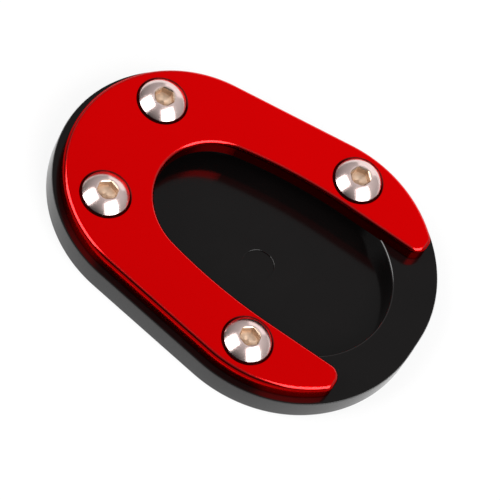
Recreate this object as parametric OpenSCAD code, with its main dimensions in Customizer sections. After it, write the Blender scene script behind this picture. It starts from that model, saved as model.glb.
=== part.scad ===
// Foot enlarger for a motorcycle's side stand.
// The stand's foot lies in the base plate's pocket, and a forked clamp plate, held by four
// button head screws, laps over its edge. Tail at -X, nose at +X, ground at Z = 0.

/* [Base plate] */
// Length of the base plate from tail to nose
plate_len = 90; // [84:1:105]
// Radius of the narrow tail end
tail_r = 29.5; // [28.5:0.1:30.5]
// Radius of the two shoulders at the wide nose end
nose_r = 31.7; // [31:0.1:34]
// Straight width between the two shoulders at the nose
nose_flat = 4; // [2:0.5:8]
// Thickness of the base plate
base_t = 6; // [5.6:0.2:10]
// Bevel round the top edge of the base plate
top_bevel = 0.4; // [0.2:0.1:0.8]
// Bevel round the bottom edge of the base plate
ground_bevel = 0.6; // [0.2:0.1:1.2]

/* [Foot pocket] */
// Depth of the pocket in which the stand's foot lies
pocket_depth = 4.6; // [3:0.1:4.9]
// Width of the rim that the pocket leaves at the nose
nose_rim = 9.1; // [7:0.1:11]
// Width by which the clamp plate laps over the pocket
lap = 2.6; // [1:0.1:3.2]
// Bevel round the mouth of the pocket
pocket_bevel = 0.4; // [0.2:0.1:0.8]
// Diameter of the round mark that the cutter leaves in the pocket's floor
mark_d = 7.2; // [4:0.2:12]
// Depth of the round mark
mark_depth = 0.25; // [0.1:0.05:0.6]
// Distance of the round mark from the middle of the plate's length
mark_x = 6.8; // [-4:0.1:12]
// Distance of the round mark from the plate's long axis
mark_y = -2.4; // [-6:0.1:6]

/* [Clamp plate] */
// Thickness of the clamp plate
clamp_t = 4; // [3:0.2:6]
// Margin of the base plate that shows round the clamp plate
margin = 1.7; // [0.8:0.1:2.2]
// Radius of the rounding along the clamp plate's top edges
edge_round = 1.1; // [0.5:0.1:1.1]
// Width of the slot between the fork's two arms
slot_w = 35; // [33:0.5:36]
// Radius of the slot's closed end
slot_end_r = 14.8; // [13:0.1:15.6]
// Width of the bridge between the plate's tail and the slot's closed end
bridge = 23.1; // [21.5:0.1:25]
// Distance of the arms' tips from the plate's nose
tip_setback = 9.9; // [9.5:0.1:13]
// Radius of each tip's corner on the slot's side
tip_inner_r = 3; // [2.3:0.1:3.2]
// Radius of each tip's corner on the outer side
tip_outer_r = 2.4; // [2.3:0.1:3]

/* [Screws] */
// Thread diameter of the screws
thread_d = 6; // [5:0.5:6]
// Length of the screws below the head
screw_len = 8; // [6:0.5:9]
// Diameter of the screw heads
head_d = 10.5; // [9.5:0.1:11]
// Height of the screw heads
head_h = 3; // [2.8:0.1:3.4]
// Height of the straight rim below the head's dome
head_rim = 0.9; // [0.6:0.1:1.1]
// Diameter of the flat top of the screw heads
head_flat = 5.2; // [5:0.1:6]
// Width across flats of the hexagon socket
socket_af = 4; // [3:0.1:4.5]
// Depth of the hexagon socket
socket_depth = 2.1; // [1.4:0.1:2.4]
// Diameter of the socket's bevelled mouth
socket_mouth = 4.9; // [4.7:0.1:5]
// Depth by which the heads are let into the clamp plate
head_sink = 0.8; // [0.4:0.1:1.4]
// Gap round each head in its recess
head_gap = 0.35; // [0.2:0.05:0.5]
// Bevel round the recess of each head
recess_bevel = 0.3; // [0.1:0.1:0.4]
// Gap round the thread in the clamp plate's holes
shank_gap = 0.3; // [0.1:0.05:0.5]
// Gap round the thread in the base plate's tapped holes
thread_gap = 0.05; // [0.02:0.01:0.1]
// Distance of the middle between the tail pair of screws from the plate's tail
tail_screw_in = 15.5; // [15:0.1:16.2]
// Spacing of the tail pair of screws
tail_screw_gap = 27.6; // [26:0.2:28.4]
// Angle by which the tail pair is turned from square across the plate
tail_screw_turn = 4.3; // [0:0.1:6]
// Distance of the middle between the tail pair from the plate's long axis
tail_screw_shift = 0.5; // [0:0.1:0.8]
// Distance of the nose pair of screws from the plate's nose
nose_screw_in = 30.6; // [27:0.2:36]
// Distance of each nose screw from the middle of its arm, on the slot's side
nose_screw_off = 0.25; // [0:0.05:0.3]

/* [Hidden] */
$fn = 96;
bow_fn = 4 * $fn;
hexagon = 6;
sides = [0, 1];
// How far a cutting shape reaches past what it cuts
spare = 1;
// How far a curve stays short of the next one's tangent, so that the two cross and never just touch
graze = 0.01;
// How far a deeper cut reaches past the place where a shallower one ends
seam = 0.05;

// Plate outline: a tail arc and two shoulder arcs joined by straight sides and a short flat nose
tail_c = [tail_r - plate_len / 2, 0];
nose_c = [plate_len / 2 - nose_r, nose_flat / 2];
side_a = side_angle(nose_c - tail_c, tail_r - nose_r);

// Slot outline: a round closed end, two slightly bowed sides, then straight sides to the tips
half_slot = slot_w / 2;
slot_c = [bridge - plate_len / 2 + slot_end_r, 0];
pocket_half = half_slot + lap;
bow_x = plate_len / 2 - nose_rim - pocket_half;
bow_r = bow_radius(bow_x - slot_c[0], half_slot, slot_end_r);
bow_c = [bow_x, half_slot - bow_r];
bow_a = atan2(slot_c[1] - bow_c[1], slot_c[0] - bow_c[0]);

// Fork tips: a short face across each arm, with a round corner at either end
tip_x = plate_len / 2 - tip_setback;
arm_r = nose_r - margin;
tip_inner_c = [tip_x - tip_inner_r, half_slot + tip_inner_r];
tip_outer_c = [
  tip_x - tip_outer_r,
  nose_c[1] + leg(arm_r - tip_outer_r, tip_x - tip_outer_r - nose_c[0])
];
tip_outer_a = atan2(tip_outer_c[1] - nose_c[1], tip_outer_c[0] - nose_c[0]);

// Heights
pocket_z = base_t - pocket_depth;
clamp_top = base_t + clamp_t;
seat_z = clamp_top - head_sink;

// Screws
thread_r = thread_d / 2;
head_r = head_d / 2;
recess_r = head_r + head_gap;
flat_r = head_flat / 2;
flat_and_rim = flat_r * flat_r - head_r * head_r - head_rim * head_rim;
dome_z = (flat_and_rim + head_h * head_h) / (2 * (head_h - head_rim));
dome_r = norm([head_r, head_rim - dome_z]);
socket_r = socket_af / sqrt(3);
mouth_r = socket_mouth / 2;
socket_cone = socket_r * tan(30);
thread_bevel = thread_d / 8;
tail_screw_c = [tail_screw_in - plate_len / 2, -tail_screw_shift];
nose_screw_x = plate_len / 2 - nose_screw_in;
nose_screw_y = (half_slot + nose_c[1] + arm_r) / 2 - nose_screw_off;
screw_places = [
  polar(tail_screw_c, tail_screw_gap / 2, tail_screw_turn + 90),
  polar(tail_screw_c, tail_screw_gap / 2, tail_screw_turn - 90),
  [nose_screw_x, nose_screw_y],
  [nose_screw_x, -nose_screw_y]
];

// The point at distance r and angle a from c
function polar(c, r, a) = c + r * [cos(a), sin(a)];
// The other leg of a right triangle
function leg(long, short) = sqrt(long * long - short * short);
// The angle of the normal on the straight line that touches two circles on their upper side
function side_angle(apart, r_diff) = atan2(apart[1], apart[0]) + acos(r_diff / norm(apart));
// The radius that runs from a straight edge at height half into the round end of radius end_r
function bow_radius(run, half, end_r) = (run * run + half * half - end_r * end_r) / (2 * (half - end_r));

// Stands its children on a point of the plan
module place(p) {
  translate([p[0], p[1], 0]) children();
}

// Runs a section along the straight way from p to q, with its X to the right of the way and its Y up
module along(p, q) {
  way = q - p;
  place(q) rotate([90, 0, atan2(way[1], way[0]) - 90]) linear_extrude(norm(way)) children();
}

// Waste of a rounding, as a section with the edge at the origin and the solid at -X, -Y
module rounding(r) {
  translate([-r, -r]) difference() {
    square(r + spare);
    circle(r);
  }
}

// Waste of a bevel, as a section with the edge at the origin and the solid at -X, -Y
module bevel(b) {
  polygon([[-b - spare, spare], [spare, -b - spare], [spare, spare]]);
}

// In the modules below the children are the waste along the edges of a side: a section with
// that side at X = 0, the solid at -X and the heights along Y.

// Section of a solid that is w wide, between two heights
module solid_part(w, z0, z1) {
  difference() {
    translate([0, z0]) square([w, z1 - z0]);
    translate([w, 0]) children();
  }
}

// Section of a void that is w wide, from z0 to past its mouth at z1
module void_part(w, z0, z1) {
  translate([0, z0]) square([w, z1 - z0 + spare]);
  translate([w, 0]) mirror([1, 0]) children();
}

// All that lies between two heights
module slab(z0, z1) {
  translate([-plate_len, -plate_len, z0]) cube([2 * plate_len, 2 * plate_len, z1 - z0]);
}

// The plate's outline as a solid between two heights, drawn in by the given margin
module egg(inset, z0, z1) {
  tail_end = tail_r - inset;
  nose_end = nose_r - inset;
  nose_x = nose_c[0] + nose_end - graze;
  place(tail_c) rotate_extrude() solid_part(tail_end, z0, z1) children();
  for (s = sides) mirror([0, s, 0]) {
    place(nose_c) rotate_extrude() solid_part(nose_end, z0, z1) children();
    along(polar(nose_c, nose_end - graze, side_a), polar(tail_c, tail_end - graze, side_a))
      translate([-half_slot, 0]) solid_part(half_slot, z0, z1) children();
  }
  along([nose_x, -nose_c[1]], [nose_x, nose_c[1]])
    translate([-half_slot, 0]) solid_part(half_slot, z0, z1) children();
}

// The slot's closed end and its bowed sides as a void, widened all round by grow. The bows end
// where they run parallel to the plate's long axis.
module slot_void(grow, z0, z1) {
  reach = pocket_half + 2 * spare;
  place(slot_c) rotate_extrude() void_part(slot_end_r + grow, z0, z1) children();
  for (s = sides) mirror([0, s, 0]) intersection() {
    place(bow_c) rotate_extrude($fn = bow_fn) void_part(bow_r + grow - graze, z0, z1) children();
    translate([0, 0, z0 - spare]) linear_extrude(z1 - z0 + 3 * spare) polygon([
      [slot_c[0], -spare],
      [bow_x, -spare],
      [bow_x, reach],
      polar(slot_c, reach, bow_a),
      slot_c
    ]);
  }
}

// What lies outside a round corner of the fork, between the normals at its two ends
module corner_waste(c, r, a0, a1) {
  reach = r + 2 * spare;
  difference() {
    translate([0, 0, base_t - spare]) linear_extrude(clamp_t + 2 * spare)
      polygon([c, polar(c, reach, a0), polar(c, reach, (a0 + a1) / 2), polar(c, reach, a1)]);
    place(c) rotate_extrude() solid_part(r + graze, base_t - 2 * spare, clamp_top) children();
  }
}

// Runs a section along an arc with the solid on its outer side, and on past both ends by over
module hollow_run(c, r, a0, a1, over) {
  turn = over / r * 180 / PI;
  place(c) rotate(a0 - turn) rotate_extrude(angle = a1 - a0 + 2 * turn)
    translate([r, 0]) mirror([1, 0]) children();
}

// What the fork's outline leaves out of the plate's: the slot, and all past its two round tips
module fork_waste() {
  slot_void(0, base_t - spare, clamp_top);
  hollow_run(slot_c, slot_end_r, bow_a, 360 - bow_a, seam) children();
  for (s = sides) mirror([0, s, 0]) {
    hollow_run(bow_c, bow_r - graze, 90, bow_a, 0, $fn = bow_fn) children();
    along([plate_len, 0], [bow_x - seam, 0]) translate([-spare, 0])
      void_part(half_slot + spare, base_t - spare, clamp_top) children();
    corner_waste(tip_inner_c, tip_inner_r, -90, 0) children();
    corner_waste(tip_outer_c, tip_outer_r, 0, tip_outer_a) children();
  }
  along([tip_x, plate_len], [tip_x, -plate_len]) translate([-plate_len, 0])
    void_part(plate_len, base_t - spare, clamp_top) children();
}

// Base plate, milled from one piece: pocket, cutter mark and four tapped holes through it
module base_plate() {
  color([0.07, 0.07, 0.08]) difference() {
    intersection() {
      egg(0, -spare / 2, base_t + spare / 2) {
        translate([0, base_t]) bevel(top_bevel);
        mirror([0, 1]) bevel(ground_bevel);
      }
      slab(0, base_t);
    }
    slot_void(lap, pocket_z, base_t) translate([0, base_t]) bevel(pocket_bevel);
    place([bow_x, 0]) rotate_extrude()
      void_part(pocket_half, pocket_z, base_t) translate([0, base_t]) bevel(pocket_bevel);
    translate([mark_x, mark_y, pocket_z - mark_depth]) cylinder(h = base_t, d = mark_d);
    for (p = screw_places) place(p) mirror([0, 0, 1]) rotate_extrude()
      void_part(thread_r + thread_gap, -base_t - spare, 0) bevel(ground_bevel);
  }
}

// Clamp plate: a fork with rounded top edges and a shallow recess for each screw head
module clamp_plate() {
  color([0.75, 0.02, 0.03]) difference() {
    intersection() {
      egg(margin, base_t - spare / 2, clamp_top) translate([0, clamp_top]) rounding(edge_round);
      slab(base_t, clamp_top + spare);
    }
    fork_waste() translate([0, clamp_top]) rounding(edge_round);
    for (p = screw_places) place(p) {
      translate([0, 0, base_t - spare]) cylinder(h = clamp_t + 2 * spare, r = thread_r + shank_gap);
      rotate_extrude() void_part(recess_r, seat_z, clamp_top) translate([0, clamp_top]) bevel(recess_bevel);
    }
  }
}

// Button head screw with a hexagon socket, its head standing on Z = 0
module screw() {
  difference() {
    union() {
      rotate_extrude() intersection() {
        square([head_r, head_h]);
        translate([0, dome_z]) circle(dome_r);
      }
      translate([0, 0, thread_bevel - screw_len]) cylinder(h = screw_len, r = thread_r);
      translate([0, 0, -screw_len]) cylinder(h = thread_bevel, r1 = thread_r - thread_bevel, r2 = thread_r);
    }
    translate([0, 0, head_h - socket_depth]) cylinder(h = head_h, r = socket_r, $fn = hexagon);
    translate([0, 0, head_h - mouth_r]) cylinder(h = mouth_r + spare, r1 = 0, r2 = mouth_r + spare);
    translate([0, 0, head_h - socket_depth - socket_cone])
      cylinder(h = socket_cone, r1 = 0, r2 = socket_af / 2);
  }
}

// The four screws that hold the clamp plate down
module clamp_screws() {
  color([0.78, 0.77, 0.76])
    for (p = screw_places) translate([p[0], p[1], seat_z]) screw();
}

base_plate();
clamp_plate();
clamp_screws();
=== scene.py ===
"""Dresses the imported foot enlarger: a black base plate, a red forked clamp plate and four screws."""

import math

import bmesh
import bpy
from bpy.props import FloatProperty, FloatVectorProperty, PointerProperty
from mathutils import Matrix, Vector


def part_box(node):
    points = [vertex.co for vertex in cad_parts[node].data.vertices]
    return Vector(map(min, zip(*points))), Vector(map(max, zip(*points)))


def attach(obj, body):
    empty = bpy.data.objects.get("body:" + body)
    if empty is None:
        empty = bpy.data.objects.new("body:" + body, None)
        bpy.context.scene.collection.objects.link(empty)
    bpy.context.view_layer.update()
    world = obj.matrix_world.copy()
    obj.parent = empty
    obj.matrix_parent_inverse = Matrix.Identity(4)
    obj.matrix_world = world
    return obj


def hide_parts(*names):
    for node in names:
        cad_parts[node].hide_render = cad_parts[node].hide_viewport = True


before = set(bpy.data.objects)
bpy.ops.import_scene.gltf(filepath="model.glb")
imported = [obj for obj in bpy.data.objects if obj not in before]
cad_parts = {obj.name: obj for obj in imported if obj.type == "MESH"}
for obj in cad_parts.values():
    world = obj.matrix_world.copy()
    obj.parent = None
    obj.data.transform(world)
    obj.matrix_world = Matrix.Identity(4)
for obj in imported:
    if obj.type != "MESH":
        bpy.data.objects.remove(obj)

bl_info = {
    "name": "Foot enlarger for a side stand",
    "version": (1, 0, 0),
    "blender": (4, 5, 0),
    "location": "3D View > Sidebar > Foot enlarger",
    "description": "Builds the plates, the screws and the studio round the packed part",
    "category": "Object",
}

MM = 0.001
BASE_LOW, BASE_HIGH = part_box("base_plate")
CLAMP_LOW, CLAMP_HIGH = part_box("clamp_plate")
SCREWS_LOW, SCREWS_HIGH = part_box("clamp_screws")
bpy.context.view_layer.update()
# How far a cutting shape reaches past what it cuts
SPARE = 2 * MM
# How near a vertex has to be to a place to count as lying there
NEAR = 0.002 * MM
# How near two vertices have to be to count as one
DOUBLE = 0.0005 * MM
# Faces that turn by less than this make one flat face, and edges that turn by more than this are sharp
FLAT = math.radians(0.05)
SHARP = math.radians(30)
# How much of its normal is upright at least on a level face, and at most on an upright face
LEVEL = 0.9
UPRIGHT = 0.1
# Corners of a full circle on the large outlines, on bores and screws and on the slot's bowed sides
OUTLINE_CORNERS = 256
BORE_CORNERS = 96
BOW_CORNERS = 1440
# Rings of the ball that a head's dome is cut from
DOME_RINGS = 256
# Steps of one turn of the thread
THREAD_STEPS = 48
# Steps across the bevel at a screw's end, a small bevel, the bevel below a head, a glinting bevel,
# the fork's rounding and the corners of its tips
END_STEPS = 1
BEVEL_STEPS = 2
FOOT_STEPS = 3
GLINT_STEPS = 4
ROUNDING_STEPS = 10
TIP_STEPS = 16
# How far the socket's round mouth stands outside the corners of its hexagon
SOCKET_ROUND = 0.07 * MM
# How far each screw's socket happens to be turned, in degrees and in the order of the screws
SOCKET_TURNS = (38.0, 12.0, 43.0, 10.0)
# Depth of the thread, width of its ridge at the foot, and how high above the shank's end the ridge
# begins, as shares of the pitch
THREAD_DEPTH = 0.6
RIDGE_WIDTH = 0.92
RIDGE_START = 0.55
# How far the screw's core reaches up into the head
CORE_REACH = 0.1 * MM
# How far the drilled cone reaches up into the socket
CONE_REACH = 0.01 * MM
# What the camera and the lamps are aimed at
AIM = Vector((3.643, -3.35, 6.2)) * MM
# How far the floor lies below the part, so that the two faces don't show through each other
FLOOR_DROP = 0.02 * MM
# Each softbox: name, azimuth, elevation and turn in degrees, and width as a share of its distance
SOFTBOXES = (("softbox_left", -151, 39, 23, 0.78), ("softbox_right", -21, 40, -12.5, 0.86))
# How much lighter the dim room gets along each axis
ROOM_LEAN = (0.1, 0.32, 0.45)


def length(name, description, default):
    """A length that a user can change, in metres."""
    return FloatProperty(
        name=name, description=description, default=default, unit="LENGTH", precision=5
    )


def angle(name, description, degrees):
    """An angle that a user can change."""
    return FloatProperty(
        name=name, description=description, default=math.radians(degrees), subtype="ANGLE"
    )


def colour(name, description, default):
    """A colour that a user can change."""
    return FloatVectorProperty(
        name=name, description=description, default=default, subtype="COLOR", size=3, min=0.0, max=1.0
    )


class PlateSizes(bpy.types.PropertyGroup):
    """Sizes of the base plate and its pocket."""

    tail_radius: length("Tail radius", "Radius of the narrow tail end", 29.5 * MM)
    nose_radius: length("Nose radius", "Radius of the two shoulders at the nose", 31.7 * MM)
    nose_flat: length("Nose flat", "Straight width between the two shoulders", 4 * MM)
    top_bevel: length("Top bevel", "Bevel round the top edge", 0.4 * MM)
    ground_bevel: length("Ground bevel", "Bevel round the bottom edge", 0.6 * MM)
    pocket_depth: length("Pocket depth", "Depth of the foot's pocket", 4.6 * MM)
    nose_rim: length("Nose rim", "Rim that the pocket leaves at the nose", 9.1 * MM)
    lap: length("Lap", "How far the clamp plate laps over the pocket", 2.6 * MM)
    pocket_bevel: length("Pocket bevel", "Bevel round the pocket's mouth", 0.5 * MM)
    mark_diameter: length("Mark diameter", "Round mark that the cutter leaves in the floor", 7.2 * MM)
    mark_depth: length("Mark depth", "Depth of the round mark", 0.25 * MM)
    mark_bevel: length("Mark bevel", "Rounding round the edge of the mark", 0.11 * MM)
    mark_x: length("Mark along", "Place of the round mark along the plate", 6.8 * MM)
    mark_y: length("Mark across", "Place of the round mark across the plate", -2.4 * MM)
    tapped_radius: length("Tapped radius", "Radius of the tapped holes", 3.05 * MM)


class ForkSizes(bpy.types.PropertyGroup):
    """Sizes of the forked clamp plate."""

    margin: length("Margin", "Margin of the base plate that shows round the fork", 1.7 * MM)
    rounding: length("Rounding", "Radius of the rounding along the top edges", 1.1 * MM)
    slot_width: length("Slot width", "Width between the fork's two arms", 35 * MM)
    slot_end_radius: length("Slot end radius", "Radius of the slot's closed end", 14.8 * MM)
    bridge: length("Bridge", "Width between the plate's tail and the slot", 23.1 * MM)
    tip_inner: length("Inner tip radius", "Corner of each tip on the slot's side", 3 * MM)
    tip_outer: length("Outer tip radius", "Corner of each tip on the outer side", 2.4 * MM)
    recess_gap: length("Recess gap", "Gap round each screw head", 0.35 * MM)
    recess_depth: length("Recess depth", "Depth to which the heads are let in", 0.8 * MM)
    recess_bevel: length("Recess bevel", "Bevel round each recess", 0.25 * MM)
    bore_radius: length("Bore radius", "Radius of the screws' clearance holes", 3.3 * MM)


class ScrewSizes(bpy.types.PropertyGroup):
    """Sizes of the button head screws."""

    head_diameter: length("Head diameter", "Width of the head", 10.5 * MM)
    head_height: length("Head height", "Height of the head", 3 * MM)
    head_rim: length("Head rim", "Straight rim below the head's dome", 1.15 * MM)
    head_flat: length("Head flat", "Flat top of the head", 5.2 * MM)
    socket_width: length("Socket width", "Width across flats of the hexagon socket", 4 * MM)
    socket_depth: length("Socket depth", "Depth of the hexagon socket", 2.1 * MM)
    socket_mouth: length("Socket mouth", "Width across flats of the socket's bevelled mouth", 4.5 * MM)
    socket_cone: length("Socket cone", "Depth of the drilled cone below the socket", 1.1 * MM)
    foot_bevel: length("Foot bevel", "Bevel round the underside of the head", 0.15 * MM)
    tip_bevel: length("Tip bevel", "Bevel round the end of the shank", 0.4 * MM)
    thread_diameter: length("Thread diameter", "Outer diameter of the thread", 6 * MM)
    thread_pitch: length("Thread pitch", "Rise of the thread in one turn", 1 * MM)


class Finishes(bpy.types.PropertyGroup):
    """Colours of the finishes."""

    red: colour("Red anodising", "Colour of the clamp plate", (0.94, 0.0, 0.001))
    black: colour("Black anodising", "Colour of the base plate", (0.0025, 0.002, 0.002))
    steel: colour("Stainless steel", "Colour of the screws", (0.82, 0.64, 0.61))
    # The sockets' beige colour is the steel with a painted warm reflection
    socket: colour("Socket", "Colour of the steel inside the screws' sockets", (0.62, 0.465, 0.35))


class StageSettings(bpy.types.PropertyGroup):
    """Camera, lights and floor."""

    distance: length("Camera distance", "Distance of the camera from what it aims at", 0.8687)
    lens: FloatProperty(
        name="Lens", description="Focal length in millimetres", default=289.1, unit="CAMERA"
    )
    azimuth: angle("Azimuth", "Camera angle round the part", 3.258)
    elevation: angle("Elevation", "Camera angle above the floor", 59.127)
    roll: angle("Roll", "Turn of the picture", 31.297)
    floor_size: length("Floor size", "Width of the level floor", 3.0)
    backdrop_width: length("Backdrop width", "Width of the white panel behind the part", 0.78)
    backdrop_height: length("Backdrop height", "Height of the white panel behind the part", 0.45)
    backdrop_distance: length("Backdrop distance", "Distance of the white panel behind the part", 0.6)
    backdrop_shift: length("Backdrop shift", "How far the white panel stands to the right", 0.045)
    backdrop_lift: length("Backdrop lift", "Height of the white panel's level part", 0.01)
    surroundings: FloatProperty(
        name="Surroundings", description="Grey level of the dim room", default=0.145, subtype="FACTOR"
    )
    lamp_level: FloatProperty(
        name="Lamp level", description="Brightness of the two softboxes", default=5.0
    )
    lamp_distance: length("Lamp distance", "Distance of the softboxes from the part", 0.9)


def settings(name):
    """One of the property groups, as the panel shows it."""
    return getattr(bpy.context.scene, "foot_enlarger_" + name)


class Geometry:
    """Places that both plates share, worked out from the sizes and from the frame."""

    def __init__(self):
        plate, fork = settings("plate"), settings("fork")
        self.tail = (BASE_LOW.x + plate.tail_radius, 0.0)
        self.nose = (BASE_HIGH.x - plate.nose_radius, plate.nose_flat / 2)
        self.half_slot = fork.slot_width / 2
        self.slot_end = (BASE_LOW.x + fork.bridge + fork.slot_end_radius, 0.0)
        self.pocket_half = self.half_slot + plate.lap
        self.bow_x = BASE_HIGH.x - plate.nose_rim - self.pocket_half
        run, end_r = self.bow_x - self.slot_end[0], fork.slot_end_radius
        self.bow_r = (run**2 + self.half_slot**2 - end_r**2) / (2 * (self.half_slot - end_r))
        self.tip_x = CLAMP_HIGH.x
        self.screws = screw_places()
        self.seat = CLAMP_HIGH.z - fork.recess_depth


def screw_places():
    """The axis of each packed screw, from the boxes of the screws in the four quarters of the plate."""
    middle = (SCREWS_LOW + SCREWS_HIGH) / 2
    corners = [v.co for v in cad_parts["clamp_screws"].data.vertices]
    places = []
    for way_x, way_y in ((-1, 1), (-1, -1), (1, 1), (1, -1)):
        group = [c for c in corners if (c.x - middle.x) * way_x > 0 and (c.y - middle.y) * way_y > 0]
        xs = [c.x for c in group]
        ys = [c.y for c in group]
        places.append(((min(xs) + max(xs)) / 2, (min(ys) + max(ys)) / 2))
    return places


def deselect():
    """Back to object mode with nothing selected."""
    if bpy.context.object and bpy.context.object.mode != "OBJECT":
        bpy.ops.object.mode_set(mode="OBJECT")
    bpy.ops.object.select_all(action="DESELECT")


def activate(piece):
    """Selects one piece alone."""
    deselect()
    piece.select_set(True)
    bpy.context.view_layer.objects.active = piece


def edit(piece, mode="EDGE"):
    """Opens a piece in edit mode with nothing selected."""
    activate(piece)
    bpy.ops.object.mode_set(mode="EDIT")
    bpy.ops.mesh.select_mode(type=mode)
    bpy.ops.mesh.select_all(action="DESELECT")


def pick(piece, test, kind="edges"):
    """Selects the edges or faces of a piece in edit mode that pass a test."""
    mesh = bmesh.from_edit_mesh(piece.data)
    found = [part for part in getattr(mesh, kind) if test(part)]
    for part in found:
        part.select_set(True)
    bmesh.update_edit_mesh(piece.data)
    if not found:
        raise RuntimeError(f"nothing of {piece.name} was found to select")


def joined(parts, name):
    """Joins pieces into one, with its place in its mesh."""
    deselect()
    for part in parts:
        part.select_set(True)
    bpy.context.view_layer.objects.active = parts[0]
    if len(parts) > 1:
        bpy.ops.object.join()
    piece = bpy.context.object
    piece.name = piece.data.name = name
    bpy.ops.object.transform_apply(location=True, rotation=True, scale=True)
    return piece


def tube(centre, radius, low, high, corners=OUTLINE_CORNERS, ends="NOTHING"):
    """An upright tube between two heights."""
    deselect()
    bpy.ops.mesh.primitive_cylinder_add(
        vertices=corners,
        radius=radius,
        depth=high - low,
        end_fill_type=ends,
        location=(centre[0], centre[1], (low + high) / 2),
    )
    return bpy.context.object


def bisected(piece, at, normal):
    """Keeps what lies behind a plane."""
    edit(piece)
    bpy.ops.mesh.select_all(action="SELECT")
    bpy.ops.mesh.bisect(
        plane_co=at, plane_no=normal, clear_outer=True, clear_inner=False, threshold=NEAR / 10
    )
    bpy.ops.object.mode_set(mode="OBJECT")
    return piece


def hull(parts, name):
    """The convex solid round some pieces, worked out in millimetres so that no fine corner is lost."""
    piece = joined(parts, name)
    edit(piece)
    bpy.ops.mesh.select_all(action="SELECT")
    bpy.ops.transform.resize(value=(1 / MM,) * 3, center_override=(0, 0, 0))
    bpy.ops.mesh.convex_hull(delete_unused=True, use_existing_faces=False, join_triangles=True)
    bpy.ops.mesh.select_all(action="SELECT")
    bpy.ops.mesh.dissolve_limited(angle_limit=FLAT)
    bpy.ops.mesh.select_all(action="SELECT")
    bpy.ops.mesh.normals_make_consistent(inside=False)
    bpy.ops.transform.resize(value=(MM,) * 3, center_override=(0, 0, 0))
    bpy.ops.object.mode_set(mode="OBJECT")
    return piece


def egg(name, inset, low, high):
    """The plate's outline as a solid between two heights, drawn in by a margin."""
    plan, plate = Geometry(), settings("plate")
    rounds = [
        tube(plan.tail, plate.tail_radius - inset, low, high),
        tube(plan.nose, plate.nose_radius - inset, low, high),
        tube((plan.nose[0], -plan.nose[1]), plate.nose_radius - inset, low, high),
    ]
    return hull(rounds, name)


def bows(grow, low, high):
    """The slot's two slightly bowed sides, as strips of large tubes."""
    plan = Geometry()
    start_x = plan.slot_end[0] - plan.half_slot / 4
    strips = []
    for side in (1, -1):
        centre = (plan.bow_x, side * (plan.half_slot - plan.bow_r))
        strip = tube(centre, plan.bow_r + grow, low, high, BOW_CORNERS)
        strip = joined([strip], "bow")
        bisected(strip, (plan.bow_x, 0, 0), (1, 0, 0))
        bisected(strip, (start_x, 0, 0), (-1, 0, 0))
        bisected(strip, (0, 0, 0), (0, -side, 0))
        strips.append(strip)
    return strips


def cut(piece, tool, operation="DIFFERENCE"):
    """Cuts one solid out of another, or to what the two share."""
    activate(piece)
    modifier = piece.modifiers.new("Cut", "BOOLEAN")
    modifier.operation = operation
    modifier.solver = "EXACT"
    modifier.object = tool
    bpy.ops.object.modifier_apply(modifier=modifier.name)
    bpy.data.objects.remove(tool)
    return piece


def bevelled_tool(centre, radius, bevel, low, high, up=True, corners=BORE_CORNERS):
    """A cutting tool from low to high that leaves a bevelled mouth at its top, or else its bottom."""
    way = 1 if up else -1
    start = low if up else high
    mouth = high - bevel if up else low + bevel
    tool = tube(centre, radius, min(start, mouth), max(start, mouth), corners, "NGON")
    tool = joined([tool], "tool")
    edit(tool, "FACE")

    def mouth_face(face):
        return abs(face.calc_center_median().z - mouth) < NEAR and abs(face.normal.z) > LEVEL

    pick(tool, mouth_face, "faces")
    bpy.ops.mesh.extrude_region_move(TRANSFORM_OT_translate={"value": (0, 0, way * (bevel + SPARE))})
    wide = 1 + (bevel + SPARE) / (radius * math.cos(math.pi / corners))
    bpy.ops.transform.resize(value=(wide, wide, 1), center_override=(centre[0], centre[1], 0))
    bpy.ops.object.mode_set(mode="OBJECT")
    return tool


def level_edge(edge, height):
    """Whether an edge lies at a height."""
    return all(abs(v.co.z - height) < NEAR for v in edge.verts)


def sharp_edge(edge, height):
    """Whether an edge at a height lies between a level face and an upright one."""
    if not level_edge(edge, height) or len(edge.link_faces) != 2:
        return False
    steep = sorted(abs(face.normal.z) for face in edge.link_faces)
    return steep[0] < UPRIGHT and steep[1] > LEVEL


def bevel_edges(piece, test, size, segments):
    """Bevels the edges that pass a test."""
    edit(piece)
    pick(piece, test)
    bpy.ops.mesh.bevel(offset=size, segments=segments, profile=0.5, affect="EDGES", clamp_overlap=False)
    bpy.ops.object.mode_set(mode="OBJECT")


def finished(piece, materials, replaced):
    """Smooths a piece, gives it its materials and ties it to the frame."""
    edit(piece)
    bpy.ops.mesh.select_all(action="SELECT")
    bpy.ops.mesh.remove_doubles(threshold=DOUBLE)
    bpy.ops.mesh.normals_make_consistent(inside=False)
    bpy.ops.object.mode_set(mode="OBJECT")
    bpy.ops.object.shade_smooth_by_angle(angle=SHARP)
    weighted = piece.modifiers.new("Weighted", "WEIGHTED_NORMAL")
    weighted.keep_sharp = True
    weighted.weight = 100
    bpy.ops.object.modifier_apply(modifier=weighted.name)
    for material in materials:
        piece.data.materials.append(material)
    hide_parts(replaced)
    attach(piece, "root")


class Value:
    """A node's output, on which sums, differences and products of numbers can be written."""

    def __init__(self, tree, socket):
        self.tree, self.socket = tree, socket

    def _math(self, operation, *others):
        return self.tree.node("ShaderNodeMath", {"operation": operation}, dict(enumerate(others)))

    def __add__(self, other):
        return self._math("ADD", self, other)

    __radd__ = __add__

    def __sub__(self, other):
        return self._math("SUBTRACT", self, other)

    def __rsub__(self, other):
        return self._math("SUBTRACT", other, self)

    def __mul__(self, other):
        return self._math("MULTIPLY", self, other)

    __rmul__ = __mul__

    def clamped(self):
        """The value held between 0 and 1."""
        return self.tree.node("ShaderNodeClamp", {}, {"Value": self})


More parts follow.
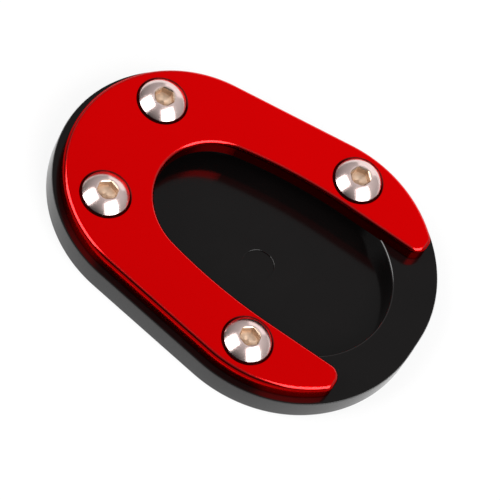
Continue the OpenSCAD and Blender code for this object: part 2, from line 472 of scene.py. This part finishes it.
class Tree:
    """The nodes of a material or of a world."""

    def __init__(self, owner):
        owner.use_nodes = True
        self.owner = owner
        self.nodes = owner.node_tree.nodes
        self.links = owner.node_tree.links
        self.nodes.clear()

    def node(self, kind, values, inputs, output=0):
        """Adds a node with its settings, then its inputs, and gives an output if it has any."""
        made = self.nodes.new(kind)
        for key, value in values.items():
            if key == "stops":
                self._stops(made.color_ramp, value)
            else:
                setattr(made, key, value)
        for key, value in inputs.items():
            if isinstance(value, Value):
                self.links.new(value.socket, made.inputs[key])
            else:
                made.inputs[key].default_value = value
        return Value(self, made.outputs[output]) if made.outputs else None

    def _stops(self, ramp, stops):
        while len(ramp.elements) < len(stops):
            ramp.elements.new(0.5)
        for element, (place, shade) in zip(ramp.elements, stops):
            element.position = place
            element.color = (shade, shade, shade, 1)

    def coordinates(self, scale=(1, 1, 1)):
        """The place on the piece in metres, times a scale."""
        place = self.node("ShaderNodeTexCoord", {}, {}, "Object")
        return self.node("ShaderNodeMapping", {}, {"Vector": place, "Scale": scale})

    def noise(self, place, size, detail=2.0, roughness=0.5):
        """Noise whose features are about size metres wide, around 0.5."""
        inputs = {"Vector": place, "Scale": 1 / size, "Detail": detail, "Roughness": roughness}
        return self.node("ShaderNodeTexNoise", {}, inputs)

    def ramp(self, value, *stops):
        """Turns a value into a grey level by stops, each a place and its level."""
        return self.node("ShaderNodeValToRGB", {"stops": stops}, {"Fac": value})

    def mix(self, factor, a, b):
        """Mixes two colours."""
        return self.node("ShaderNodeMix", {"data_type": "RGBA"}, {"Factor": factor, 6: a, 7: b}, 2)

    def upward(self):
        """How far the surface faces up: 1 on level tops, 0 on upright sides."""
        normal = self.node("ShaderNodeNewGeometry", {}, {}, "Normal")
        return self.node("ShaderNodeSeparateXYZ", {}, {"Vector": normal}, "Z").clamped()

    def along(self, place, axis, low, high):
        """How far a place has gone along an axis, from 0 at low to 1 at high."""
        part = self.node("ShaderNodeSeparateXYZ", {}, {"Vector": place}, axis)
        return self.node("ShaderNodeMapRange", {}, {"Value": part, "From Min": low, "From Max": high})

    def gap_shade_mask(self, reach):
        """0 in narrow gaps and 1 on open faces, from ambient occlusion: the mask for painting shade
        into gaps.
        """
        open_share = self.node("ShaderNodeAmbientOcclusion", {"samples": 8}, {"Distance": reach}, "AO")
        return self.ramp(open_share, (0.4, 0.0), (0.7, 0.7), (0.95, 1.0))

    def bump(self, height, depth, strength):
        """Raises the surface by a height of up to depth metres."""
        inputs = {"Height": height, "Distance": depth, "Strength": strength}
        return self.node("ShaderNodeBump", {}, inputs)

    def principled(self, **inputs):
        """Ends the tree in a Principled shader, and gives the material."""
        named = {}
        for key, value in inputs.items():
            named[key.replace("_", " ").title().replace("Ior", "IOR")] = value
        return self.output(self.node("ShaderNodeBsdfPrincipled", {}, named))

    def output(self, shader, kind="ShaderNodeOutputMaterial"):
        """Ends the tree in a shader, and gives the material or world."""
        self.node(kind, {}, {"Surface": shader})
        return self.owner


def material_tree(name):
    """The empty tree of a new material."""
    return Tree(bpy.data.materials.new(name))


def shaded(base, share):
    """A colour times a share of its brightness, with full alpha."""
    return (*(min(1, c * share) for c in base), 1)


def red_anodised():
    """Fine blasted aluminium, dyed red: satin, glossy on upper edges, with painted shade on the
    roundings, in gaps and towards low Y.
    """
    tree = material_tree("red_anodised")
    base = settings("finish").red
    place = tree.coordinates()
    cloud = tree.noise(place, 14 * MM) * 0.3
    # Painted light: besides the random cloud, the red is lighter towards high Y and darker towards low
    # Y across the plate
    across = tree.along(place, "Y", CLAMP_LOW.y, CLAMP_HIGH.y)
    tone = tree.mix(cloud + across * 0.7, shaded(base, 0.84), shaded(base, 1))
    upward = tree.upward()
    walls = tree.ramp(upward, (0.7, 1.0), (0.97, 0.0))
    # Painted shade: faces that slope between upright and level, mostly the roundings, are darkened
    # towards a quarter of the red; level tops and upright walls keep their tone
    rounding = tree.ramp(upward, (0.01, 0.0), (0.06, 1.0), (0.55, 0.9), (0.8, 0.45), (0.97, 0.0))
    tone = tree.mix(rounding, tone, shaded(base, 0.25))
    # Painted shade: narrow gaps, such as the recesses round the heads, are darkened almost to black
    tone = tree.mix(tree.gap_shade_mask(1.1 * MM), shaded(base, 0.05), tone)
    grain = tree.noise(place, 0.16 * MM, 3.0, 0.6)
    edges = tree.ramp(upward, (0.66, 0.0), (0.74, 1.0), (0.9, 1.0), (0.95, 0.0))
    rough = tree.noise(place, 3 * MM) * 0.05 + 0.21 - walls * 0.08
    return tree.principled(
        base_color=tone,
        metallic=1.0,
        roughness=rough,
        specular_tint=(1.0, 0.08, 0.08, 1),
        coat_weight=edges * 0.6 + 0.02,
        coat_roughness=0.09,
        normal=tree.bump(grain, 0.003 * MM, 0.25),
    )


def black_anodised():
    """Milled aluminium, anodised black: dark and satin on level faces, glossier on bevels and sides."""
    tree = material_tree("black_anodised")
    base = settings("finish").black
    place = tree.coordinates()
    cloud = tree.noise(place, 9 * MM)
    tone = tree.mix(cloud, shaded(base, 0.8), shaded(base, 1.3))
    grain = tree.noise(place, 0.2 * MM, 2.0, 0.6)
    sides = tree.ramp(tree.upward(), (0.0, 0.35), (0.4, 1.0), (0.93, 1.0), (0.985, 0.0))
    rough = tree.noise(place, 2.5 * MM) * 0.06 + 0.12
    return tree.principled(
        base_color=tone,
        metallic=0.0,
        roughness=rough,
        ior=1.26,
        coat_weight=sides,
        coat_roughness=0.12,
        normal=tree.bump(grain, 0.003 * MM, 0.3),
    )


def stainless():
    """Turned and polished stainless steel, with faint scuffs."""
    tree = material_tree("stainless")
    base = settings("finish").steel
    place = tree.coordinates()
    cloud = tree.noise(place, 2 * MM)
    tone = tree.mix(cloud, shaded(base, 0.93), shaded(base, 1.05))
    scuffs = tree.noise(tree.coordinates((1, 1, 9)), 0.35 * MM, 3.0, 0.55)
    rough = scuffs * 0.12 + 0.14
    return tree.principled(
        base_color=tone,
        metallic=1.0,
        roughness=rough,
        normal=tree.bump(scuffs, 0.002 * MM, 0.25),
    )


def socket_steel():
    """The pressed steel inside a socket, duller than the head and glossy on its bevel, its beige colour
    a painted warm reflection.
    """
    tree = material_tree("socket_steel")
    # Painted reflection: the beige colour stands in for a warm reflection inside the socket
    base = settings("finish").socket
    place = tree.coordinates()
    cloud = tree.noise(place, 0.8 * MM, 3.0)
    tone = tree.mix(cloud, shaded(base, 0.8), shaded(base, 1.15))
    bevelled = tree.ramp(tree.upward(), (0.5, 0.0), (0.6, 1.0), (0.8, 1.0), (0.86, 0.0))
    rough = tree.noise(place, 0.4 * MM) * 0.15 + 0.42 - bevelled * 0.25
    return tree.principled(
        base_color=tone,
        metallic=1.0,
        roughness=rough,
        normal=tree.bump(cloud, 0.01 * MM, 0.4),
    )


class FootEnlargerBasePlate(bpy.types.Operator):
    """Models the black base plate with its pocket and tapped holes."""

    bl_idname = "foot_enlarger.base_plate"
    bl_label = "Base plate"

    def execute(self, context):
        plan, sizes = Geometry(), settings("plate")
        low, top = BASE_LOW.z, BASE_HIGH.z
        plate = egg("base_plate_dressed", 0, low, top)
        bevel_edges(plate, lambda e: sharp_edge(e, top), sizes.top_bevel, BEVEL_STEPS)
        bevel_edges(plate, lambda e: sharp_edge(e, low), sizes.ground_bevel, BEVEL_STEPS)
        floor = top - sizes.pocket_depth
        pocket = hull(
            [
                tube(plan.slot_end, settings("fork").slot_end_radius + sizes.lap, floor, top + SPARE),
                tube((plan.bow_x, 0), plan.pocket_half, floor, top + SPARE),
                *bows(sizes.lap, floor, top + SPARE),
            ],
            "pocket",
        )
        cut(plate, pocket)
        bevel_edges(plate, lambda e: sharp_edge(e, top), sizes.pocket_bevel, GLINT_STEPS)
        middle = Vector((sizes.mark_x, sizes.mark_y))
        radius = sizes.mark_diameter / 2
        mark = tube(middle, radius, floor - sizes.mark_depth, top, BORE_CORNERS, "NGON")
        cut(plate, joined([mark], "mark"))

        def round_mark(edge):
            inside = all((v.co.xy - middle).length < radius + sizes.mark_bevel for v in edge.verts)
            return inside and sharp_edge(edge, floor)

        bevel_edges(plate, round_mark, sizes.mark_bevel, GLINT_STEPS)
        for place in plan.screws:
            hole = bevelled_tool(
                place, sizes.tapped_radius, sizes.ground_bevel, low, top + SPARE, up=False
            )
            cut(plate, hole)
        finished(plate, [black_anodised()], "base_plate")
        return {"FINISHED"}


class FootEnlargerClampPlate(bpy.types.Operator):
    """Models the red forked clamp plate with its rounded edges and recesses."""

    bl_idname = "foot_enlarger.clamp_plate"
    bl_label = "Clamp plate"

    def execute(self, context):
        plan, sizes, plate = Geometry(), settings("fork"), settings("plate")
        low, top = CLAMP_LOW.z, CLAMP_HIGH.z
        arm_r = plate.nose_radius - sizes.margin
        outer_x = plan.tip_x - sizes.tip_outer
        reach = arm_r - sizes.tip_outer
        outer_y = plan.nose[1] + math.sqrt(reach**2 - (outer_x - plan.nose[0]) ** 2)
        turn = math.atan2(outer_y - plan.nose[1], outer_x - plan.nose[0])
        shoulder_x = plan.nose[0] + arm_r * math.cos(turn)
        rounds = [tube(plan.tail, plate.tail_radius - sizes.margin, low, top)]
        for side in (1, -1):
            shoulder = joined([tube((plan.nose[0], side * plan.nose[1]), arm_r, low, top)], "shoulder")
            bisected(shoulder, (shoulder_x, 0, 0), (1, 0, 0))
            rounds.append(shoulder)
            rounds.append(tube((outer_x, side * outer_y), sizes.tip_outer, low, top, BORE_CORNERS))
        fork = hull(rounds, "clamp_plate_dressed")
        deselect()
        bpy.ops.mesh.primitive_cube_add(
            size=1,
            location=(plan.bow_x + plan.tip_x, 0, (low + top) / 2),
            scale=(2 * plan.tip_x, 2 * plan.half_slot, top - low + 2 * SPARE),
        )
        slot = hull(
            [
                bpy.context.object,
                tube(plan.slot_end, sizes.slot_end_radius, low - SPARE, top + SPARE),
                *bows(0, low - SPARE, top + SPARE),
            ],
            "slot",
        )
        cut(fork, slot)

        def inner_corner(edge):
            at_tip = all(abs(v.co.x - plan.tip_x) < NEAR for v in edge.verts)
            return at_tip and all(abs(abs(v.co.y) - plan.half_slot) < NEAR for v in edge.verts)

        bevel_edges(fork, inner_corner, sizes.tip_inner, TIP_STEPS)
        bevel_edges(fork, lambda e: sharp_edge(e, top), sizes.rounding, ROUNDING_STEPS)
        recess = settings("screw").head_diameter / 2 + sizes.recess_gap
        for place in plan.screws:
            cut(fork, bevelled_tool(place, recess, sizes.recess_bevel, plan.seat, top))
            bore = tube(place, sizes.bore_radius, low - SPARE, top, BORE_CORNERS, "NGON")
            cut(fork, joined([bore], "bore"))
        finished(fork, [red_anodised()], "clamp_plate")
        return {"FINISHED"}


def button_head(name):
    """A button head with a hexagon socket, its underside on the origin."""
    sizes = settings("screw")
    rim, flat, high = sizes.head_rim, sizes.head_flat / 2, sizes.head_height
    radius = sizes.head_diameter / 2
    centre = (flat**2 + high**2 - radius**2 - rim**2) / (2 * (high - rim))
    ball = math.hypot(radius, rim - centre)
    deselect()
    bpy.ops.mesh.primitive_uv_sphere_add(
        segments=BORE_CORNERS, ring_count=DOME_RINGS, radius=ball, location=(0, 0, centre)
    )
    head = joined([bpy.context.object], name)
    bisected(head, (0, 0, high), (0, 0, 1))
    bisected(head, (0, 0, rim), (0, 0, -1))
    edit(head)
    pick(head, lambda e: level_edge(e, high))
    bpy.ops.mesh.edge_face_add()
    bpy.ops.mesh.select_all(action="DESELECT")
    pick(head, lambda e: level_edge(e, rim))
    bpy.ops.mesh.extrude_region_move(TRANSFORM_OT_translate={"value": (0, 0, -rim)})
    bpy.ops.mesh.edge_face_add()
    bpy.ops.mesh.select_all(action="SELECT")
    bpy.ops.mesh.normals_make_consistent(inside=False)
    bpy.ops.object.mode_set(mode="OBJECT")
    bevel_edges(head, lambda e: level_edge(e, 0), sizes.foot_bevel, FOOT_STEPS)
    socket_r = sizes.socket_width / math.sqrt(3)
    mouth = (sizes.socket_mouth - sizes.socket_width) / 2
    socket_low = high - sizes.socket_depth
    socket = bevelled_tool((0, 0), socket_r, mouth, socket_low, high, corners=6)
    limit_low = socket_low - sizes.socket_depth
    limit = tube((0, 0), socket_r + SOCKET_ROUND, limit_low, high + 2 * SPARE, BORE_CORNERS, "NGON")
    cut(head, cut(socket, joined([limit], "limit"), "INTERSECT"))
    deselect()
    bpy.ops.mesh.primitive_cone_add(
        vertices=BORE_CORNERS,
        radius1=0,
        radius2=sizes.socket_width / 2,
        depth=sizes.socket_cone,
        location=(0, 0, socket_low - sizes.socket_cone / 2 + CONE_REACH),
    )
    cut(head, joined([bpy.context.object], "cone"))
    return head


def mark_socket(screw):
    """Puts the faces of the socket on the second material."""
    sizes = settings("screw")
    mouth = sizes.socket_width / math.sqrt(3) + 2 * SOCKET_ROUND
    bottom = sizes.head_height - sizes.socket_depth - sizes.socket_cone
    for face in screw.data.polygons:
        centre = face.center
        inside = math.hypot(centre.x, centre.y) < mouth and bottom < centre.z < sizes.head_height - NEAR
        face.material_index = 1 if inside else 0


def thread(name, low):
    """The threaded shank below the head: a core with a helical ridge round it."""
    sizes = settings("screw")
    pitch = sizes.thread_pitch
    root = sizes.thread_diameter / 2 - THREAD_DEPTH * pitch
    core = joined([tube((0, 0), root, low, CORE_REACH, BORE_CORNERS, "NGON")], "core")
    bevel_edges(core, lambda e: level_edge(e, low), sizes.tip_bevel, END_STEPS)
    deselect()
    bpy.ops.mesh.primitive_circle_add(
        vertices=4, radius=pitch / 2, rotation=(math.pi / 2, 0, 0), location=(root, 0, 0)
    )
    ridge = joined([bpy.context.object], "ridge")
    edit(ridge, "VERT")
    bpy.ops.mesh.select_all(action="SELECT")
    bpy.ops.transform.resize(value=(2 * THREAD_DEPTH, 1, RIDGE_WIDTH), center_override=(root, 0, 0))
    bpy.ops.transform.translate(value=(0, 0, low + pitch * RIDGE_START))
    bpy.ops.object.mode_set(mode="OBJECT")
    activate(ridge)
    screw = ridge.modifiers.new("Helix", "SCREW")
    screw.axis = "Z"
    screw.angle = 2 * math.pi
    screw.screw_offset = pitch
    screw.iterations = int(-low / pitch) - 1
    screw.steps = screw.render_steps = THREAD_STEPS
    bpy.ops.object.modifier_apply(modifier=screw.name)
    edit(ridge, "EDGE")
    pick(ridge, lambda e: e.is_boundary)
    bpy.ops.mesh.fill_holes(sides=0)
    bpy.ops.mesh.select_all(action="SELECT")
    bpy.ops.mesh.normals_make_consistent(inside=False)
    bpy.ops.object.mode_set(mode="OBJECT")
    return joined([core, ridge], name)


class FootEnlargerScrews(bpy.types.Operator):
    """Models one button head screw and copies it to the four places."""

    bl_idname = "foot_enlarger.clamp_screws"
    bl_label = "Clamp screws"

    def execute(self, context):
        plan = Geometry()
        shank_low = SCREWS_LOW.z - plan.seat
        model = joined([button_head("head"), thread("thread", shank_low)], "screw")
        mark_socket(model)
        materials = [stainless(), socket_steel()]
        for number, (place, turn) in enumerate(zip(plan.screws, SOCKET_TURNS), 1):
            activate(model)
            bpy.ops.object.duplicate()
            screw = bpy.context.object
            screw.rotation_euler.z = math.radians(turn)
            screw.location = (place[0], place[1], plan.seat)
            screw = joined([screw], f"clamp_screw_{number}")
            finished(screw, materials, "clamp_screws")
        bpy.data.objects.remove(model)
        return {"FINISHED"}


def studio_white(name, shade, level, seen_share, gloss_share):
    """A pale matt surface with shadows that glows to camera and gloss rays and is clear from behind."""
    tree = material_tree(name)
    seen = tree.node("ShaderNodeLightPath", {}, {}, "Is Camera Ray")
    gloss = tree.node("ShaderNodeLightPath", {}, {}, "Is Glossy Ray")
    share = (seen * seen_share + gloss * gloss_share).clamped()
    matt = tree.node("ShaderNodeBsdfDiffuse", {}, {"Color": (shade, shade, shade, 1)})
    glow = tree.node("ShaderNodeEmission", {}, {"Color": (1, 1, 1, 1), "Strength": level})
    front = tree.node("ShaderNodeMixShader", {}, {0: share, 1: matt, 2: glow})
    behind = tree.node("ShaderNodeNewGeometry", {}, {}, "Backfacing")
    clear = tree.node("ShaderNodeBsdfTransparent", {}, {})
    return tree.output(tree.node("ShaderNodeMixShader", {}, {0: behind, 1: front, 2: clear}))


def dim_room(level):
    """A grey room that is a little lighter overhead and towards its open side."""
    tree = Tree(bpy.data.worlds.new("dim_room"))
    way = tree.node("ShaderNodeTexCoord", {}, {}, "Generated")
    dot = {"operation": "DOT_PRODUCT"}
    lean = tree.node("ShaderNodeVectorMath", dot, {0: way, 1: ROOM_LEAN}, "Value")
    grey = (lean + level).clamped()
    tone = tree.node("ShaderNodeCombineColor", {}, {0: grey, 1: grey, 2: grey})
    background = tree.node("ShaderNodeBackground", {}, {"Color": tone})
    return tree.output(background, "ShaderNodeOutputWorld")


def softbox(name, azimuth, elevation, turn, width):
    """A square lamp that shines at the part, with its angles and its width as SOFTBOXES gives them."""
    studio = settings("stage")
    side = width * studio.lamp_distance
    data = bpy.data.lights.new(name, "AREA")
    data.shape = "SQUARE"
    data.size = side
    data.energy = studio.lamp_level * math.pi * side**2
    lamp = bpy.data.objects.new(name, data)
    bpy.context.scene.collection.objects.link(lamp)
    turned = (
        Matrix.Rotation(math.radians(azimuth + 90), 4, "Z")
        @ Matrix.Rotation(math.radians(90 - elevation), 4, "X")
        @ Matrix.Rotation(math.radians(turn), 4, "Z")
    )
    lamp.matrix_world = Matrix.Translation(AIM + turned @ Vector((0, 0, studio.lamp_distance))) @ turned


class FootEnlargerStage(bpy.types.Operator):
    """Sets the floor, backdrop, lamps and camera."""

    bl_idname = "foot_enlarger.stage"
    bl_label = "Stage"

    def execute(self, context):
        studio = settings("stage")
        deselect()
        bpy.ops.mesh.primitive_plane_add(
            size=studio.floor_size, location=(0, 0, BASE_LOW.z - FLOOR_DROP)
        )
        floor = joined([bpy.context.object], "floor")
        white = studio_white("studio_white", shade=0.8, level=1.0, seen_share=0.8, gloss_share=0.45)
        floor.data.materials.append(white)
        deselect()
        bpy.ops.mesh.primitive_plane_add(
            size=studio.backdrop_width,
            location=(studio.backdrop_shift, studio.backdrop_distance, studio.backdrop_lift),
        )
        backdrop = joined([bpy.context.object], "backdrop")
        edit(backdrop, "EDGE")
        back = studio.backdrop_distance + studio.backdrop_width / 2
        pick(backdrop, lambda e: all(v.co.y > back - NEAR for v in e.verts))
        rise = {"value": (0, 0, studio.backdrop_height)}
        bpy.ops.mesh.extrude_region_move(TRANSFORM_OT_translate=rise)
        bpy.ops.object.mode_set(mode="OBJECT")
        white = studio_white("backdrop_white", shade=0.8, level=1.15, seen_share=1.0, gloss_share=1.0)
        backdrop.data.materials.append(white)
        for box in SOFTBOXES:
            softbox(*box)
        context.scene.world = dim_room(studio.surroundings)
        data = bpy.data.cameras.new("camera")
        data.lens = studio.lens
        camera = bpy.data.objects.new("camera", data)
        context.scene.collection.objects.link(camera)
        turned = (
            Matrix.Rotation(studio.azimuth, 4, "Z")
            @ Matrix.Rotation(math.pi / 2 - studio.elevation, 4, "X")
            @ Matrix.Rotation(studio.roll, 4, "Z")
        )
        away = turned @ Vector((0, 0, studio.distance))
        camera.matrix_world = Matrix.Translation(AIM + away) @ turned
        context.scene.camera = camera
        context.scene.view_settings.view_transform = "Standard"
        return {"FINISHED"}


class FootEnlargerPanel(bpy.types.Panel):
    """Lists the pieces and their sizes."""

    bl_idname = "VIEW3D_PT_foot_enlarger"
    bl_label = "Foot enlarger"
    bl_space_type = "VIEW_3D"
    bl_region_type = "UI"
    bl_category = "Foot enlarger"

    def draw(self, context):
        for operator in OPERATORS:
            self.layout.operator(operator.bl_idname)
        for name, group in GROUPS.items():
            box = self.layout.box()
            for key in group.__annotations__:
                box.prop(settings(name), key)


OPERATORS = (FootEnlargerBasePlate, FootEnlargerClampPlate, FootEnlargerScrews, FootEnlargerStage)
GROUPS = {
    "plate": PlateSizes,
    "fork": ForkSizes,
    "screw": ScrewSizes,
    "finish": Finishes,
    "stage": StageSettings,
}


def register():
    """Makes the classes known to Blender."""
    for group in GROUPS.values():
        bpy.utils.register_class(group)
    for name, group in GROUPS.items():
        setattr(bpy.types.Scene, "foot_enlarger_" + name, PointerProperty(type=group))
    for kind in (*OPERATORS, FootEnlargerPanel):
        bpy.utils.register_class(kind)


def unregister():
    """Takes the classes out of Blender again."""
    for kind in (FootEnlargerPanel, *reversed(OPERATORS)):
        bpy.utils.unregister_class(kind)
    for name in GROUPS:
        delattr(bpy.types.Scene, "foot_enlarger_" + name)
    for group in reversed(list(GROUPS.values())):
        bpy.utils.unregister_class(group)


def main():
    """Builds the scene."""
    register()
    bpy.ops.foot_enlarger.base_plate()
    bpy.ops.foot_enlarger.clamp_plate()
    bpy.ops.foot_enlarger.clamp_screws()
    bpy.ops.foot_enlarger.stage()


if __name__ == "__main__":
    main()
